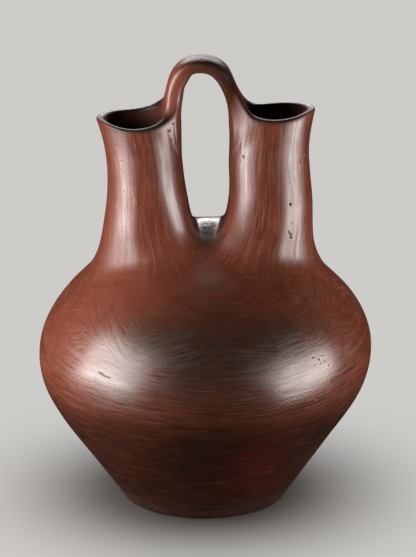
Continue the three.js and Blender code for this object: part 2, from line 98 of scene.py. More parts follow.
WEB_SEAM_X, LIP_SEAM_Z = 9.0, 262.0
TONGUE_Z, TONGUE_HALF, STRAP_HALF, STRAP_Z = 252.0, 9.0, 12.2, 286.0
VOXEL = 1.12
rng = np.random.default_rng(7)


# -------------------------------------------------------------- curve helpers
class Spline:
    """natural cubic spline, straight beyond its ends"""

    def __init__(self, xs, ys):
        x, y = np.array(xs, float), np.array(ys, float)
        n, h = len(x), np.diff(x)
        a, r = np.zeros((n, n)), np.zeros(n)
        a[0, 0] = a[-1, -1] = 1
        for i in range(1, n - 1):
            a[i, i - 1], a[i, i], a[i, i + 1] = h[i - 1], 2 * (h[i - 1] + h[i]), h[i]
            r[i] = 6 * ((y[i + 1] - y[i]) / h[i] - (y[i] - y[i - 1]) / h[i - 1])
        self.x, self.y, self.h, self.m = x, y, h, np.linalg.solve(a, r)

    def __call__(self, v):
        v = np.asarray(v, float)
        i = np.clip(np.searchsorted(self.x, v) - 1, 0, len(self.x) - 2)
        h, c = self.h[i], np.clip(v, self.x[0], self.x[-1])
        a, b = (self.x[i + 1] - c) / h, (c - self.x[i]) / h
        y0, y1, m0, m1 = self.y[i], self.y[i + 1], self.m[i], self.m[i + 1]
        f = a * y0 + b * y1 + ((a ** 3 - a) * m0 + (b ** 3 - b) * m1) * h * h / 6
        s = (y1 - y0) / h + ((1 - 3 * a * a) * m0 + (3 * b * b - 1) * m1) * h / 6
        return f + s * (v - c)


class Sampled:
    """a smooth function of one number, read from a fine table"""

    def __init__(self, f, lo, hi, n=4000):
        self.x = np.linspace(lo, hi, n)
        self.y = np.asarray(f(self.x), float)

    def __call__(self, v):
        return np.interp(v, self.x, self.y)


class Table:
    """a smooth function of two numbers, read from a grid"""

    def __init__(self, f, x0, x1, y0, y1, h):
        self.x0, self.y0, self.h = x0, y0, h
        xs, ys = np.arange(x0, x1 + h / 2, h), np.arange(y0, y1 + h / 2, h)
        gx, gy = np.meshgrid(xs, ys, indexing="ij")
        self.t = f(gx.ravel(), gy.ravel()).reshape(gx.shape)

    def __call__(self, x, y, fine=True):
        nx, ny = self.t.shape
        u = np.clip((x - self.x0) / self.h, 1.001, nx - 2.002)
        v = np.clip((y - self.y0) / self.h, 1.001, ny - 2.002)
        i, j = u.astype(np.int64), v.astype(np.int64)
        u, v = u - i, v - j
        flat, k = self.t.ravel(), i * ny + j
        if not fine:
            return ((flat[k] * (1 - v) + flat[k + 1] * v) * (1 - u)
                    + (flat[k + ny] * (1 - v) + flat[k + ny + 1] * v) * u)

        def w(t):
            return (-0.5 * t + t * t - 0.5 * t ** 3, 1 - 2.5 * t * t + 1.5 * t ** 3,
                    0.5 * t + 2 * t * t - 1.5 * t ** 3, -0.5 * t * t + 0.5 * t ** 3)
        wu, wv = w(u), w(v)
        out = 0
        for a in range(4):
            row = k + (a - 1) * ny
            out = out + wu[a] * (flat[row - 1] * wv[0] + flat[row] * wv[1] + flat[row + 1] * wv[2] + flat[row + 2] * wv[3])
        return out


def smin(a, b, k):
    h = np.maximum(k - np.abs(a - b), 0) / k
    return np.minimum(a, b) - h * h * h * k / 6


def smax(a, b, k):
    return -smin(-a, -b, k)


def ramp(v, lo, hi):
    t = np.clip((v - lo) / (hi - lo), 0, 1)
    return t * t * (3 - 2 * t)


def polyline_distance(px, py, qx, qy, signed):
    """distance from points q to a polyline, and where on it the nearest point is"""
    dx, dy = np.diff(px), np.diff(py)
    best = np.full(len(qx), 1e18)
    where, side = np.zeros(len(qx)), np.ones(len(qx))
    for i in range(len(dx)):
        l = dx[i] ** 2 + dy[i] ** 2
        t = np.clip(((qx - px[i]) * dx[i] + (qy - py[i]) * dy[i]) / l, 0, 1)
        ex, ey = qx - px[i] - t * dx[i], qy - py[i] - t * dy[i]
        d = ex * ex + ey * ey
        m = d < best
        best = np.where(m, d, best)
        where = np.where(m, i + t, where)
        if signed:
            side = np.where(m, ex * dy[i] - ey * dx[i], side)
    d = np.sqrt(best)
    return (np.where(side < 0, -d, d) if signed else d), where


# ---------------------------------------------------- the modelled clay surface
_pts = [tuple(map(float, p)) for p in BODY_PROFILE]
_pts += [(-r, z) for r, z in _pts[-2:-6:-1]]
_arc = np.r_[0, np.cumsum([math.hypot(b[0] - a[0], b[1] - a[1]) for a, b in zip(_pts, _pts[1:])])]
prof_r, prof_z = Spline(_arc, [p[0] for p in _pts]), Spline(_arc, [p[1] for p in _pts])
ARC_END = _arc[len(BODY_PROFILE) - 1]
_s = np.linspace(-14, ARC_END, 420)
_pr, _pz = prof_r(_s), prof_z(_s)
_both = {}


def _body_tables():
    def f(r, z):
        d, w = polyline_distance(_pr, _pz, r, z, True)
        _both["w"] = w
        return d
    t = Table(f, -3, 140, -16, 216, 1.0)
    a = Table(lambda r, z: np.interp(_both["w"], np.arange(len(_s)), _s), -3, 140, -16, 216, 1.0)
    return t, a


body_table, arc_table = _body_tables()
lean = Sampled(lambda z: Spline(LEAN_Z, LEAN_X)(np.clip(z, 0, 200)), -30, 340)
square = Sampled(lambda z: Spline(SQUARE_Z, SQUARE)(z), 130, 300)


def body_radius(x, y, z):
    return np.hypot(x - lean(z), y / DEPTH_RATIO)


def f_body(x, y, z, fine=True):
    return body_table(body_radius(x, y, z), z, fine)


def oval(u, v, a, b, p):
    U, V = np.abs(u) / a, np.abs(v) / b
    k = (U ** p + V ** p + 1e-12) ** (1 / p)
    return (k - 1) / np.sqrt(((U / k) ** (p - 1) / a) ** 2 + ((V / k) ** (p - 1) / b) ** 2 + 1e-12)


class Tube:
    def __init__(self, outer, inner, depth, back):
        o, i = np.array(outer, float), np.array(inner, float)
        self.side = np.sign(o[3] - i[3])
        self.c = Sampled(Spline(SPOUT_Z, (o + i) / 2), 130, 300)
        self.a = Sampled(Spline(SPOUT_Z, np.abs(o - i) / 2), 130, 300)
        self.b = Sampled(Spline(SPOUT_Z, depth), 130, 300)
        self.back = back

    def __call__(self, x, y, z):
        h = np.clip(z, 135, 292)
        p = square(h)
        q = p + (np.minimum(p, self.back) - p) * ramp(y, -8, 8)
        u, a = x - self.c(h), self.a(h)
        q = q + (OUTER_SQUARE - q) * ramp(self.side * u / a, -0.1, 0.5)
        return smax(oval(u, y, a, self.b(h), q), SPOUT_ROOT_Z - z, 20.0)


left_tube = Tube(LEFT_OUTER, LEFT_INNER, LEFT_DEPTH, LEFT_BACK_SQUARE)
right_tube = Tube(RIGHT_OUTER, RIGHT_INNER, RIGHT_DEPTH, RIGHT_BACK_SQUARE)
_ridge = Spline(WEB_Y, WEB_Z)
ridge = Sampled(_ridge, -120, 120, 6000)
ridge_slope = Sampled(lambda v: (_ridge(v + 0.1) - _ridge(v - 0.1)) / 0.2, -120, 120, 6000)


def f_web(x, y, z):
    d = (z - ridge(y)) / np.sqrt(1 + ridge_slope(y) ** 2) + np.maximum(np.abs(x) - 40, 0)
    return smax(d, SPOUT_ROOT_Z - z, 20.0)


def f_out(x, y, z, fine=True):
    """the outside of the clay, before the walls are hollowed"""
    d = f_body(x, y, z, fine)
    top = z > 130
    if top.any():
        X, Y, Z = x[top], y[top], z[top]
        t = smin(left_tube(X, Y, Z), right_tube(X, Y, Z), BLEND_SPOUTS)
        t = smin(t, f_web(X, Y, Z), BLEND_WEB)
        d[top] = smin(d[top], t, BLEND_BODY)
    return d


_rims = [Sampled(Spline(*q), q[0][0], q[0][-1]) for q in (
    (LEFT_RIM_X, LEFT_RIM_NEAR), (LEFT_RIM_X, LEFT_RIM_FAR), (RIGHT_RIM_X, RIGHT_RIM_NEAR), (RIGHT_RIM_X, RIGHT_RIM_FAR))]


def rim_height(x, y):
    w = ramp(y, -8, 8)
    left = _rims[0](x) * (1 - w) + _rims[1](x) * w
    right = _rims[2](x) * (1 - w) + _rims[3](x) * w
    return np.where(x < 0, left, right)


_h = np.array(HANDLE, float)
_ha = np.r_[0, np.cumsum(np.hypot(*np.diff(_h[:, :2], axis=0).T))]
_hs = [Spline(_ha, _h[:, j]) for j in range(4)]
_ht = np.linspace(0, _ha[-1], 240)
_hp = np.stack([s(_ht) for s in _hs], 1)


def _strap_tables():
    def f(x, z):
        d, w = polyline_distance(_hp[:, 0], _hp[:, 1], x, z, False)
        _both["h"] = w
        return d
    n = Table(f, -50, 50, 222, 332, 0.5)
    idx = np.arange(len(_hp))
    a = Table(lambda x, z: np.interp(_both["h"], idx, _hp[:, 2]), -50, 50, 222, 332, 0.5)
    b = Table(lambda x, z: np.interp(_both["h"], idx, _hp[:, 3]), -50, 50, 222, 332, 0.5)
    s = Table(lambda x, z: np.interp(_both["h"], idx, _ht), -50, 50, 222, 332, 0.5)
    return n, a, b, s


strap_n, strap_a, strap_b, strap_s = _strap_tables()


def f_strap(x, y, z):
    return oval(strap_n(x, z), y, strap_a(x, z, False), strap_b(x, z, False), STRAP_SQUARE)


def f_clay(x, y, z, fine=True):
    """the fired clay: walls, floor, rims and handle as one body"""
    o = f_out(x, y, z, fine)
    t = np.where(z > 200, SPOUT_WALL, WALL)
    m = o + t / 2
    shell = np.abs(m) - t / 2
    low = z < 30
    if low.any():
        floor = np.maximum(o[low] + 5.0, z[low] - FLOOR)
        shell[low] = smax(smin(shell[low], floor, 5.0), -z[low], 2.6)
    up = z > 228
    if up.any():
        X, Y, Z = x[up], y[up], z[up]
        M, T = np.abs(m[up]), t[up]
        h = np.maximum(Z - rim_height(X, Y) + T / 2, 0)
        p = 2.6
        s = np.where(h > 0, (M ** p + h ** p + 1e-9) ** (1 / p) - T / 2, shell[up])
        near = (np.abs(X) < 46) & (np.abs(Y) < 30)
        if near.any():
            k = BLEND_HANDLE * np.clip((Z[near] - 238) / 30, 0.02, 1)
            s[near] = smin(s[near], f_strap(X[near], Y[near], Z[near]), k)
        shell[up] = s
    return shell


# hand-made unevenness: slow waves, millimetres
_wk, _wa = [], []
for wave, amp, count in ((95, 0.30, 5), (48, 0.16, 7), (24, 0.07, 9)):
    for _ in range(count):
        v = rng.normal(size=3)
        _wk.append(v / np.linalg.norm(v) * 2 * math.pi / (wave * rng.uniform(0.75, 1.3)))
        _wa.append((amp * rng.uniform(0.6, 1.2) / math.sqrt(count), rng.uniform(0, 2 * math.pi)))
_wk = np.array(_wk)


def wobble(p):
    g = p @ _wk.T
    w = np.zeros(len(p))
    d = np.zeros_like(p)
    for i, (amp, ph) in enumerate(_wa):
        w += amp * np.sin(g[:, i] + ph)
        d += (amp * np.cos(g[:, i] + ph))[:, None] * _wk[i]
    fade = ramp(p[:, 2], 0, 14)          # the foot stays flat
    return w * fade, d * fade[:, None]


def surface(p):
    w, _ = wobble(p)
    return f_clay(p[:, 0], p[:, 1], p[:, 2]) - w


def gradient(p, e=0.05):
    g = np.empty_like(p)
    for j in range(3):
        q = p.copy()
        q[:, j] += e
        a = f_clay(q[:, 0], q[:, 1], q[:, 2])
        q[:, j] -= 2 * e
        g[:, j] = (a - f_clay(q[:, 0], q[:, 1], q[:, 2])) / (2 * e)
    return g - wobble(p)[1]


# ------------------------------------------------------------- surface to mesh
def contour(h):
    """quads on the clay surface, from a grid with step h"""
    lo, hi = np.array([-119.0, -117.0, -3.0]), np.array([119.0, 117.0, 320.0])
    n = np.ceil((hi - lo) / h).astype(int) + 1
    c = 3                                    # coarse cells of c steps
    m = (n + c - 1) // c + 1
    n = m * c
    ax = [lo[i] + h * c * (np.arange(m[i]) + (c - 1) / (2 * c)) for i in range(3)]
    F = np.empty(tuple(n), np.float32)
    gx, gy, gz = np.meshgrid(*ax, indexing="ij")
    coarse = f_clay(gx.ravel(), gy.ravel(), gz.ravel(), False).reshape(gx.shape)
    F[...] = np.repeat(np.repeat(np.repeat(coarse, c, 0), c, 1), c, 2)
    near = np.argwhere(np.abs(coarse) < h * c * 0.87 + 0.9)
    note(f"grid {tuple(n)}, {len(near) * c ** 3} near points")
    off = np.stack(np.meshgrid(*[np.arange(c)] * 3, indexing="ij"), -1).reshape(-1, 3)
    for s in range(0, len(near), 30000):
        idx = (near[s:s + 30000, None, :] * c + off[None]).reshape(-1, 3)
        q = lo + h * idx
        F[idx[:, 0], idx[:, 1], idx[:, 2]] = f_clay(q[:, 0], q[:, 1], q[:, 2], False)
    note("grid evaluated")
    neg = F < 0
    ny, nz = F.shape[1], F.shape[2]
    cells, sums, orient = [], [], []
    for a in range(3):
        sl0 = [slice(None)] * 3
        sl1 = [slice(None)] * 3
        sl0[a], sl1[a] = slice(None, -1), slice(1, None)
        e = np.argwhere(neg[tuple(sl0)] != neg[tuple(sl1)])
        f0 = F[e[:, 0], e[:, 1], e[:, 2]]
        e1 = e.copy()
        e1[:, a] += 1
        f1 = F[e1[:, 0], e1[:, 1], e1[:, 2]]
        t = f0 / (f0 - f1)
        pos = e.astype(float)
        pos[:, a] += t
        b, d = (a + 1) % 3, (a + 2) % 3
        quad = []
        for ob, od in ((0, 0), (-1, 0), (-1, -1), (0, -1)):
            cell = e.copy()
            cell[:, b] += ob
            cell[:, d] += od
            quad.append((cell[:, 0] * ny + cell[:, 1]) * nz + cell[:, 2])
        quad = np.stack(quad, 1)
        flip = f0 < 0                        # the clay is on the low side of this edge
        quad[~flip] = quad[~flip][:, ::-1]
        cells.append(quad)
        sums.append(pos)
    quads, pos = np.concatenate(cells), np.concatenate(sums)
    ids, inv = np.unique(quads.ravel(), return_inverse=True)
    inv = inv.ravel()
    cnt = np.bincount(inv, minlength=len(ids)).astype(float)
    P4 = np.repeat(pos, 4, 0)
    V = np.stack([np.bincount(inv, P4[:, k], minlength=len(ids)) / cnt for k in range(3)], 1)
    Q = inv.reshape(-1, 4)
    return lo + h * V, Q


def settle(V, Q, rounds=2):
    """evens the quads out and puts every vertex exactly on the surface"""
    for r in range(rounds):
        s, c = np.zeros_like(V), np.zeros(len(V))
        for a, b in ((0, 1), (1, 2), (2, 3), (3, 0)):
            for i, j in ((a, b), (b, a)):
                for k in range(3):
                    s[:, k] += np.bincount(Q[:, i], V[Q[:, j], k], minlength=len(V))
                c += np.bincount(Q[:, i], minlength=len(V))
        V = 0.45 * V + 0.55 * s / c[:, None]
        g = gradient(V, 0.15)
        f = surface(V)
        V = V - g * (f / np.maximum((g * g).sum(1), 0.2))[:, None]
    f = surface(V)
    V = V - g * (f / np.maximum((g * g).sum(1), 0.2))[:, None]
    return V


V, Q = contour(VOXEL)
note(f"{len(V)} vertices, {len(Q)} quads")
V = settle(V, Q)
note("settled")


def new_mesh(name, verts, faces):
    me = bpy.data.meshes.new(name)
    me.vertices.add(len(verts))
    me.vertices.foreach_set("co", np.asarray(verts, np.float32).ravel())
    faces = np.asarray(faces)
    me.loops.add(faces.size)
    me.loops.foreach_set("vertex_index", faces.ravel().astype(np.int32))
    me.polygons.add(len(faces))
    me.polygons.foreach_set("loop_start", (np.arange(len(faces)) * faces.shape[1]).astype(np.int32))
    me.update(calc_edges=True)
    return me


def link(ob):
    bpy.context.scene.collection.objects.link(ob)
    return ob


def prism(name, corners):
    """a closed convex cutter from 8 corners, bottom four and top four, millimetres"""
    f = [(0, 3, 2, 1), (4, 5, 6, 7), (0, 1, 5, 4), (1, 2, 6, 5), (2, 3, 7, 6), (3, 0, 4, 7)]
    me = new_mesh(name, np.array(corners, float) * 1e-3, f)
    a = me.attributes.new("joint_face", "FLOAT", "FACE")
    a.data.foreach_set("value", np.ones(6, np.float32))
    return link(bpy.data.objects.new(name, me))


def block(name, x0, x1, y0, y1, z0, z1):
    return prism(name, [(x0, y0, z0), (x1, y0, z0), (x1, y1, z0), (x0, y1, z0),
                        (x0, y0, z1), (x1, y0, z1), (x1, y1, z1), (x0, y1, z1)])


# ------------------------------------------------------- marks left in the clay
# (x, y, z, radius, depth) of pits, and (x, y, z, x, y, z, radius, depth) of scratches, millimetres
PITS = [(25.7, -19.1, 249.7, 1.5, 0.55), (58.5, -25.0, 217.4, 1.3, 0.45), (59.6, -27.0, 194.2, 1.2, 0.5),
        (-24.6, -18.4, 268.0, 1.5, 0.6), (-23.2, -17.3, 260.8, 1.2, 0.5), (-22.9, -15.6, 272.5, 1.0, 0.4),
        (-1.5, -8.1, 314.1, 1.1, 0.45), (1.4, -10.3, 312.0, 1.4, 0.5), (-5.6, -7.2, 315.0, 0.9, 0.4),
        (13.5, -7.9, 290.5, 1.0, 0.45), (16.2, -11.0, 289.7, 0.9, 0.4), (-57.2, -22.1, 247.7, 0.9, 0.3),
        (72.6, -83.4, 128.2, 1.0, 0.4), (76.7, -81.0, 125.9, 1.2, 0.45), (80.9, -78.4, 123.5, 0.9, 0.4),
        (83.7, -76.9, 120.2, 0.8, 0.35), (78.1, -81.2, 123.1, 0.9, 0.35), (73.9, -84.9, 123.0, 0.8, 0.3),
        (79.1, -68.2, 72.1, 1.1, 0.5), (7.9, -112.0, 90.1, 1.0, 0.4), (20.3, -85.0, 46.5, 1.1, 0.4),
        (6.6, -73.0, 164.5, 1.4, 0.35), (45.0, 96.0, 118.0, 1.3, 0.45), (-62.0, 88.0, 102.0, 1.2, 0.4),
        (-50.0, 22.5, 214.0, 1.2, 0.45), (61.0, 20.5, 238.0, 1.1, 0.4), (98.0, 52.0, 122.0, 1.2, 0.4),
        (-104.0, 30.0, 88.0, 1.2, 0.4), (-92.0, -60.0, 96.0, 1.0, 0.35), (104.0, 18.0, 84.0, 1.3, 0.45)]
SCRATCHES = [(65.0, -16.4, 245.4, 68.1, -12.9, 249.4, 0.9, 0.6), (57.6, -27.0, 198.8, 58.8, -27.0, 196.0, 0.8, 0.45),
             (-71.6, -87.6, 118.9, -68.4, -89.8, 118.2, 0.8, 0.5), (-68.2, -90.1, 117.3, -63.4, -93.2, 116.7, 0.65, 0.4),
             (8.0, -74.6, 163.4, 17.3, -80.0, 159.9, 0.8, 0.3), (79.6, -79.8, 128.6, 82.0, -78.3, 127.9, 0.5, 0.25),
             (-46.0, 103.0, 96.0, -30.0, 109.0, 99.0, 0.8, 0.35), (70.0, 84.0, 86.0, 80.0, 74.0, 90.0, 0.8, 0.35)]
PITS = [(*m[:3], m[3] * 0.62, m[4] * 0.6) for m in PITS]
SCRATCHES = [(*m[:6], m[6] * 0.62, m[7] * 0.6) for m in SCRATCHES]
for _ in range(46):                          # small stray pits all round
    th, zz = rng.uniform(0, 2 * math.pi), rng.uniform(22, 150)
    rr = float(np.interp(zz, [q[1] for q in BODY_PROFILE], [q[0] for q in BODY_PROFILE]))
    PITS.append((rr * math.sin(th), -rr * DEPTH_RATIO * math.cos(th), zz, rng.uniform(0.35, 0.65), rng.uniform(0.10, 0.22)))
for _ in range(34):
    th, zz = rng.uniform(0, 2 * math.pi), rng.uniform(175, 262)
    side = -1 if rng.random() < 0.5 else 1
    PITS.append((side * 44 + 28 * math.cos(th), 26 * math.sin(th), zz, rng.uniform(0.35, 0.6), rng.uniform(0.10, 0.2)))


def on_surface(p):
    p = np.array(p, float)
    for _ in range(4):
        g = gradient(p, 0.15)
        p = p - np.clip(surface(p) / np.maximum((g * g).sum(1), 0.3), -2.5, 2.5)[:, None] * g
    return p


PITS += [(58.5, -25.0, 217.4, 0.8, 0.3), (59.6, -27.0, 194.2, 0.75, 0.3), (59.9, -27.0, 196.4, 0.6, 0.25),
         (-2.6, -7.4, 315.2, 0.75, 0.3), (1.2, -9.8, 313.2, 0.8, 0.3), (20.6, -9.5, 291.0, 0.7, 0.3), (-69.9, -88.8, 117.9, 0.55, 0.22)]
PITS = [(*q, m[3], m[4]) for q, m in zip(on_surface([m[:3] for m in PITS]), PITS)]
SCRATCHES = [(*a, *b, m[6], m[7]) for a, b, m in zip(on_surface([m[:3] for m in SCRATCHES]),
                                                     on_surface([m[3:6] for m in SCRATCHES]), SCRATCHES)]


def marks(p):
    """how far the marks sink each point, and the slope of that"""
    h, g = np.zeros(len(p)), np.zeros_like(p)
    for m in PITS:
        r, depth = m[3], m[4]
        k = np.where(np.abs(p[:, 2] - m[2]) < 4 * r)[0]
        k = k[np.abs(p[k, 0] - m[0]) < 4 * r]
        k = k[np.abs(p[k, 1] - m[1]) < 4 * r]
        d = p[k] - np.array(m[:3])
        w = depth * np.exp(-(d ** 2).sum(1) / r ** 2)
        h[k] += w
        g[k] += d * (-2 / r ** 2 * w)[:, None]
    for m in SCRATCHES:
        a, b, r, depth = np.array(m[:3]), np.array(m[3:6]), m[6], m[7]
        lo, hi = np.minimum(a, b) - 4 * r, np.maximum(a, b) + 4 * r
        k = np.where(((p > lo) & (p < hi)).all(1))[0]
        u = b - a
        t = np.clip((p[k] - a) @ u / (u @ u), 0, 1)
        d = p[k] - a - t[:, None] * u
        w = depth * np.exp(-(d ** 2).sum(1) / r ** 2)
        h[k] += w
        g[k] += d * (-2 / r ** 2 * w)[:, None]
    return h, g


def unit(v):
    return v / np.maximum(np.linalg.norm(v, axis=-1, keepdims=True), 1e-9)


def refine(me):
    """smaller faces where a mark is, so that the mark has a shape"""
    co = np.empty(len(me.vertices) * 3, np.float32)
    me.vertices.foreach_get("co", co)
    co = co.reshape(-1, 3).astype(float) * 1e3
    near = np.zeros(len(co), bool)
    for m in PITS:
        near |= ((co - np.array(m[:3])) ** 2).sum(1) < (2.1 * m[3] + 0.8) ** 2
    for m in SCRATCHES:
        a, b = np.array(m[:3]), np.array(m[3:6])
        u = b - a
        t = np.clip((co - a) @ u / (u @ u), 0, 1)
        near |= ((co - a - t[:, None] * u) ** 2).sum(1) < (2.1 * m[6] + 0.8) ** 2
    bm = bmesh.new()
    bm.from_mesh(me)
    bm.verts.ensure_lookup_table()
    n0 = len(bm.verts)
    edges = {e for i in np.where(near)[0] for f in bm.verts[i].link_faces for e in f.edges}
    edges = sorted(edges, key=lambda e: e.index)
    bmesh.ops.subdivide_edges(bm, edges=edges, cuts=2, use_grid_fill=True)
    bm.to_mesh(me)
    bm.free()
    co = np.empty(len(me.vertices) * 3, np.float32)
    me.vertices.foreach_get("co", co)
    co = co.reshape(-1, 3).astype(float) * 1e3
    new = np.arange(n0, len(co))
    p = co[new]
    for _ in range(2):
        g = gradient(p)
        p = p - g * (surface(p) / np.maximum((g * g).sum(1), 0.2))[:, None]
    co[new] = p
    h, _ = marks(co)
    k = np.where(h > 0.002)[0]
    co[k] -= unit(gradient(co[k])) * h[k][:, None]
    me.vertices.foreach_set("co", (co * 1e-3).astype(np.float32).ravel())
    me.update()
    note(f"{len(new)} vertices added at the marks")


def triangles(V, Q):
    """each quad split along its shorter diagonal"""
    d0 = ((V[Q[:, 0]] - V[Q[:, 2]]) ** 2).sum(1)
    d1 = ((V[Q[:, 1]] - V[Q[:, 3]]) ** 2).sum(1)
    m = (d0 <= d1)[:, None]
    return np.concatenate([np.where(m, Q[:, [0, 1, 2]], Q[:, [0, 1, 3]]), np.where(m, Q[:, [0, 2, 3]], Q[:, [1, 2, 3]])])


whole = link(bpy.data.objects.new("whole", new_mesh("whole", V * 1e-3, triangles(V, Q))))
refine(whole.data)
fa = whole.data.attributes.new("joint_face", "FLOAT", "FACE")


def cut(source, cutters, name):
    """source's mesh after the listed (operation, cutter) steps, as a new mesh"""
    ob = link(bpy.data.objects.new(name, source.data.copy()))
    for op, cutter in cutters:
        m = ob.modifiers.new("cut", "BOOLEAN")
        m.object, m.operation, m.solver = cutter, op, "MANIFOLD"
    dg = bpy.context.evaluated_depsgraph_get()
    me = bpy.data.meshes.new_from_object(ob.evaluated_get(dg), preserve_all_data_layers=True, depsgraph=dg)
    ob.modifiers.clear()
    ob.data = me
    return ob


W = 200.0
slope = (STRAP_HALF - TONGUE_HALF) / (STRAP_Z - TONGUE_Z)
w_top = TONGUE_HALF + slope * (330 - TONGUE_Z)
handle_cut = prism("cut_handle", [(-36, -TONGUE_HALF, TONGUE_Z), (36, -TONGUE_HALF, TONGUE_Z),
                                  (36, TONGUE_HALF, TONGUE_Z), (-36, TONGUE_HALF, TONGUE_Z),
                                  (-36, -w_top, 330), (36, -w_top, 330), (36, w_top, 330), (-36, w_top, 330)])
blocks = {
    "base": block("c1", -W, W, -W, W, -20, BASE_SEAM_Z),
    "lower_wall": block("c2", -W, W, -W, W, BASE_SEAM_Z, LOWER_SEAM_Z),
    "middle_wall": block("c3", -W, W, -W, W, LOWER_SEAM_Z, MIDDLE_SEAM_Z),
    "belly_wall": block("c4", -W, W, -W, W, MIDDLE_SEAM_Z, BELLY_SEAM_Z),
    "shoulder_wall": block("c5", -W, W, -W, W, BELLY_SEAM_Z, SHOULDER_SEAM_Z),
    "spout_saddle": block("c6", -WEB_SEAM_X, WEB_SEAM_X, -W, W, SHOULDER_SEAM_Z, 240),
    "left_spout": block("c7", -W, -WEB_SEAM_X, -W, W, SHOULDER_SEAM_Z, LIP_SEAM_Z),
    "right_spout": block("c8", WEB_SEAM_X, W, -W, W, SHOULDER_SEAM_Z, LIP_SEAM_Z),
    "left_lip": block("c9", -W, -WEB_SEAM_X, -W, W, LIP_SEAM_Z, 330),
    "right_lip": block("c10", WEB_SEAM_X, W, -W, W, LIP_SEAM_Z, 330),
}
half_low = cut(whole, [("INTERSECT", block("c11", -W, W, -W, W, -20, BELLY_SEAM_Z + 6))], "half_low")
half_high = cut(whole, [("INTERSECT", block("c12", -W, W, -W, W, BELLY_SEAM_Z - 6, 330))], "half_high")
for o in (half_low, half_high):              # only cuts at the seams count as joint faces
    o.data.attributes["joint_face"].data.foreach_set("value", np.zeros(len(o.data.polygons), np.float32))
pieces = {}
for name, b in blocks.items():
    steps = [("INTERSECT", b)]
    if name in ("left_spout", "right_spout", "left_lip", "right_lip"):
        steps.append(("DIFFERENCE", handle_cut))
    low = name in ("base", "lower_wall", "middle_wall", "belly_wall")
    pieces[name] = cut(half_low if low else half_high, steps, "clay_" + name)
pieces["bridge_handle"] = cut(half_high, [("INTERSECT", handle_cut)], "clay_bridge_handle")
for o in [o for o in bpy.context.scene.objects if o.name[:4] in ("whol", "half", "cut_") or o.name in [f"c{i}" for i in range(1, 13)]]:
    me = o.data
    bpy.data.objects.remove(o)
    bpy.data.meshes.remove(me)
note("pieces cut")


# ------------------------------------------- normals and coordinates for strokes
def _signed_strap():
    def f(x, z):
        return polyline_distance(_hp[:, 0], _hp[:, 1], x, z, True)[0]
    return Table(f, -50, 50, 222, 332, 0.5)


strap_side = _signed_strap()
# smoky fire clouds, and one blob of painted shade in the cleft under the saddle, at (0, -18, 184); these and the other
# zones: (x, y, z, reach x, reach y, reach z, amount), millimetres
SMOKE_AND_SHADE = [(16, -104, 134, 42, 48, 19, 0.85), (60, -82, 144, 30, 40, 12, 0.55), (-36, -95, 141, 28, 40, 13, 0.45),
         (-10, -104, 116, 60, 40, 22, 0.45), (10, -88, 152, 60, 40, 16, 0.35), (2, -80, 40, 70, 60, 34, 0.35),
         (-40, 92, 128, 52, 44, 26, 0.85), (74, 70, 100, 36, 44, 30, 0.6), (-100, 20, 110, 20, 44, 30, 0.35),
         (66, -56, 58, 36, 44, 26, 0.45), (0, -18, 184, 16, 26, 16, 0.55), (-46, 28, 226, 22, 18, 40, 0.5), (52, 26, 204, 24, 18, 34, 0.45)]
# painted shade, also duller: the shoulder before the saddle, the front of the belly, the crease under the handle's
# crown, the root of the right leg and the low belly
SHADE = [(6, -84, 156, 62, 40, 24, 0.60), (2, -104, 112, 62, 40, 40, 0.65), (0, -96, 66, 34, 30, 22, 0.5),
         (4, -11, 312, 16, 7, 6, 0.95), (15, -10, 304, 7, 8, 8, 0.75), (0, -14, 305, 14, 5, 5, 0.35), (16, -11, 291, 9, 18, 18, 0.8),
         (92, -60, 60, 30, 34, 30, 0.25), (-48, -62, 26, 32, 32, 17, 0.35)]
MATTE = [(0, 0, 314, 20, 16, 8, 0.8), (-20, -11, 290, 9, 22, 22, 0.3), (0, 6, 196, 12, 22, 8, -1.0), (1, -48, 174, 30, 30, 15, 1.0), (17, -10, 288, 12, 26, 20, 1.0), (2, -62, 160, 44, 30, 14, 0.4),
         (-60, -38, 184, 20, 24, 13, 0.45), (66, -36, 186, 18, 24, 13, 0.35), (-26, -18, 247, 9, 14, 16, 0.3),
         (20, -24, 206, 8, 16, 15, 0.75), (27, -20, 240, 10, 14, 30, 0.22), (18, -30, 194, 9, 16, 10, 0.6), (58, -24, 232, 12, 14, 40, 0.18),
         (-69.5, -12, 212, 8, 14, 48, 0.9), (-56, -28, 218, 13, 16, 46, 0.2)]
GLOW = [(29, -88, 50, 21, 40, 26, 1.0), (-70, 60, 60, 34, 40, 30, 0.5)]
# painted light: lighter slip where the lamps fall strongest, mostly on the lit left side, the left leg of the strap
# and around the highlights
PAINTED_LIGHT = [(-54, -58, 166, 34, 40, 20, 0.5), (68, -18, 212, 14, 30, 50, 0.6), (-92, -62, 130, 32, 36, 22, 0.5), (-60, -60, 165, 50, 50, 26, 0.5), (-50, -26, 215, 34, 20, 44, 0.45), (-112, -20, 100, 26, 60, 44, 0.6), (-21, -12, 290, 9, 18, 22, 2.0), (0, -8, 306, 18, 12, 7, 0.5),
        (66, -40, 160, 40, 50, 22, 0.25), (-4, -100, 66, 26, 30, 12, 0.35),
        (-54, -58, 166, 34, 32, 15, 0.6), (-84, -50, 142, 24, 30, 16, 0.3),
        (45, -84, 74, 20, 26, 14, 0.35), (-48, -84, 74, 22, 26, 14, 0.4)]


def blobs(p, rows):
    s = np.zeros(len(p))
    for m in rows:
        s += m[6] * np.exp(-(((p - np.array(m[:3])) / np.array(m[3:6])) ** 2).sum(1))
    return s


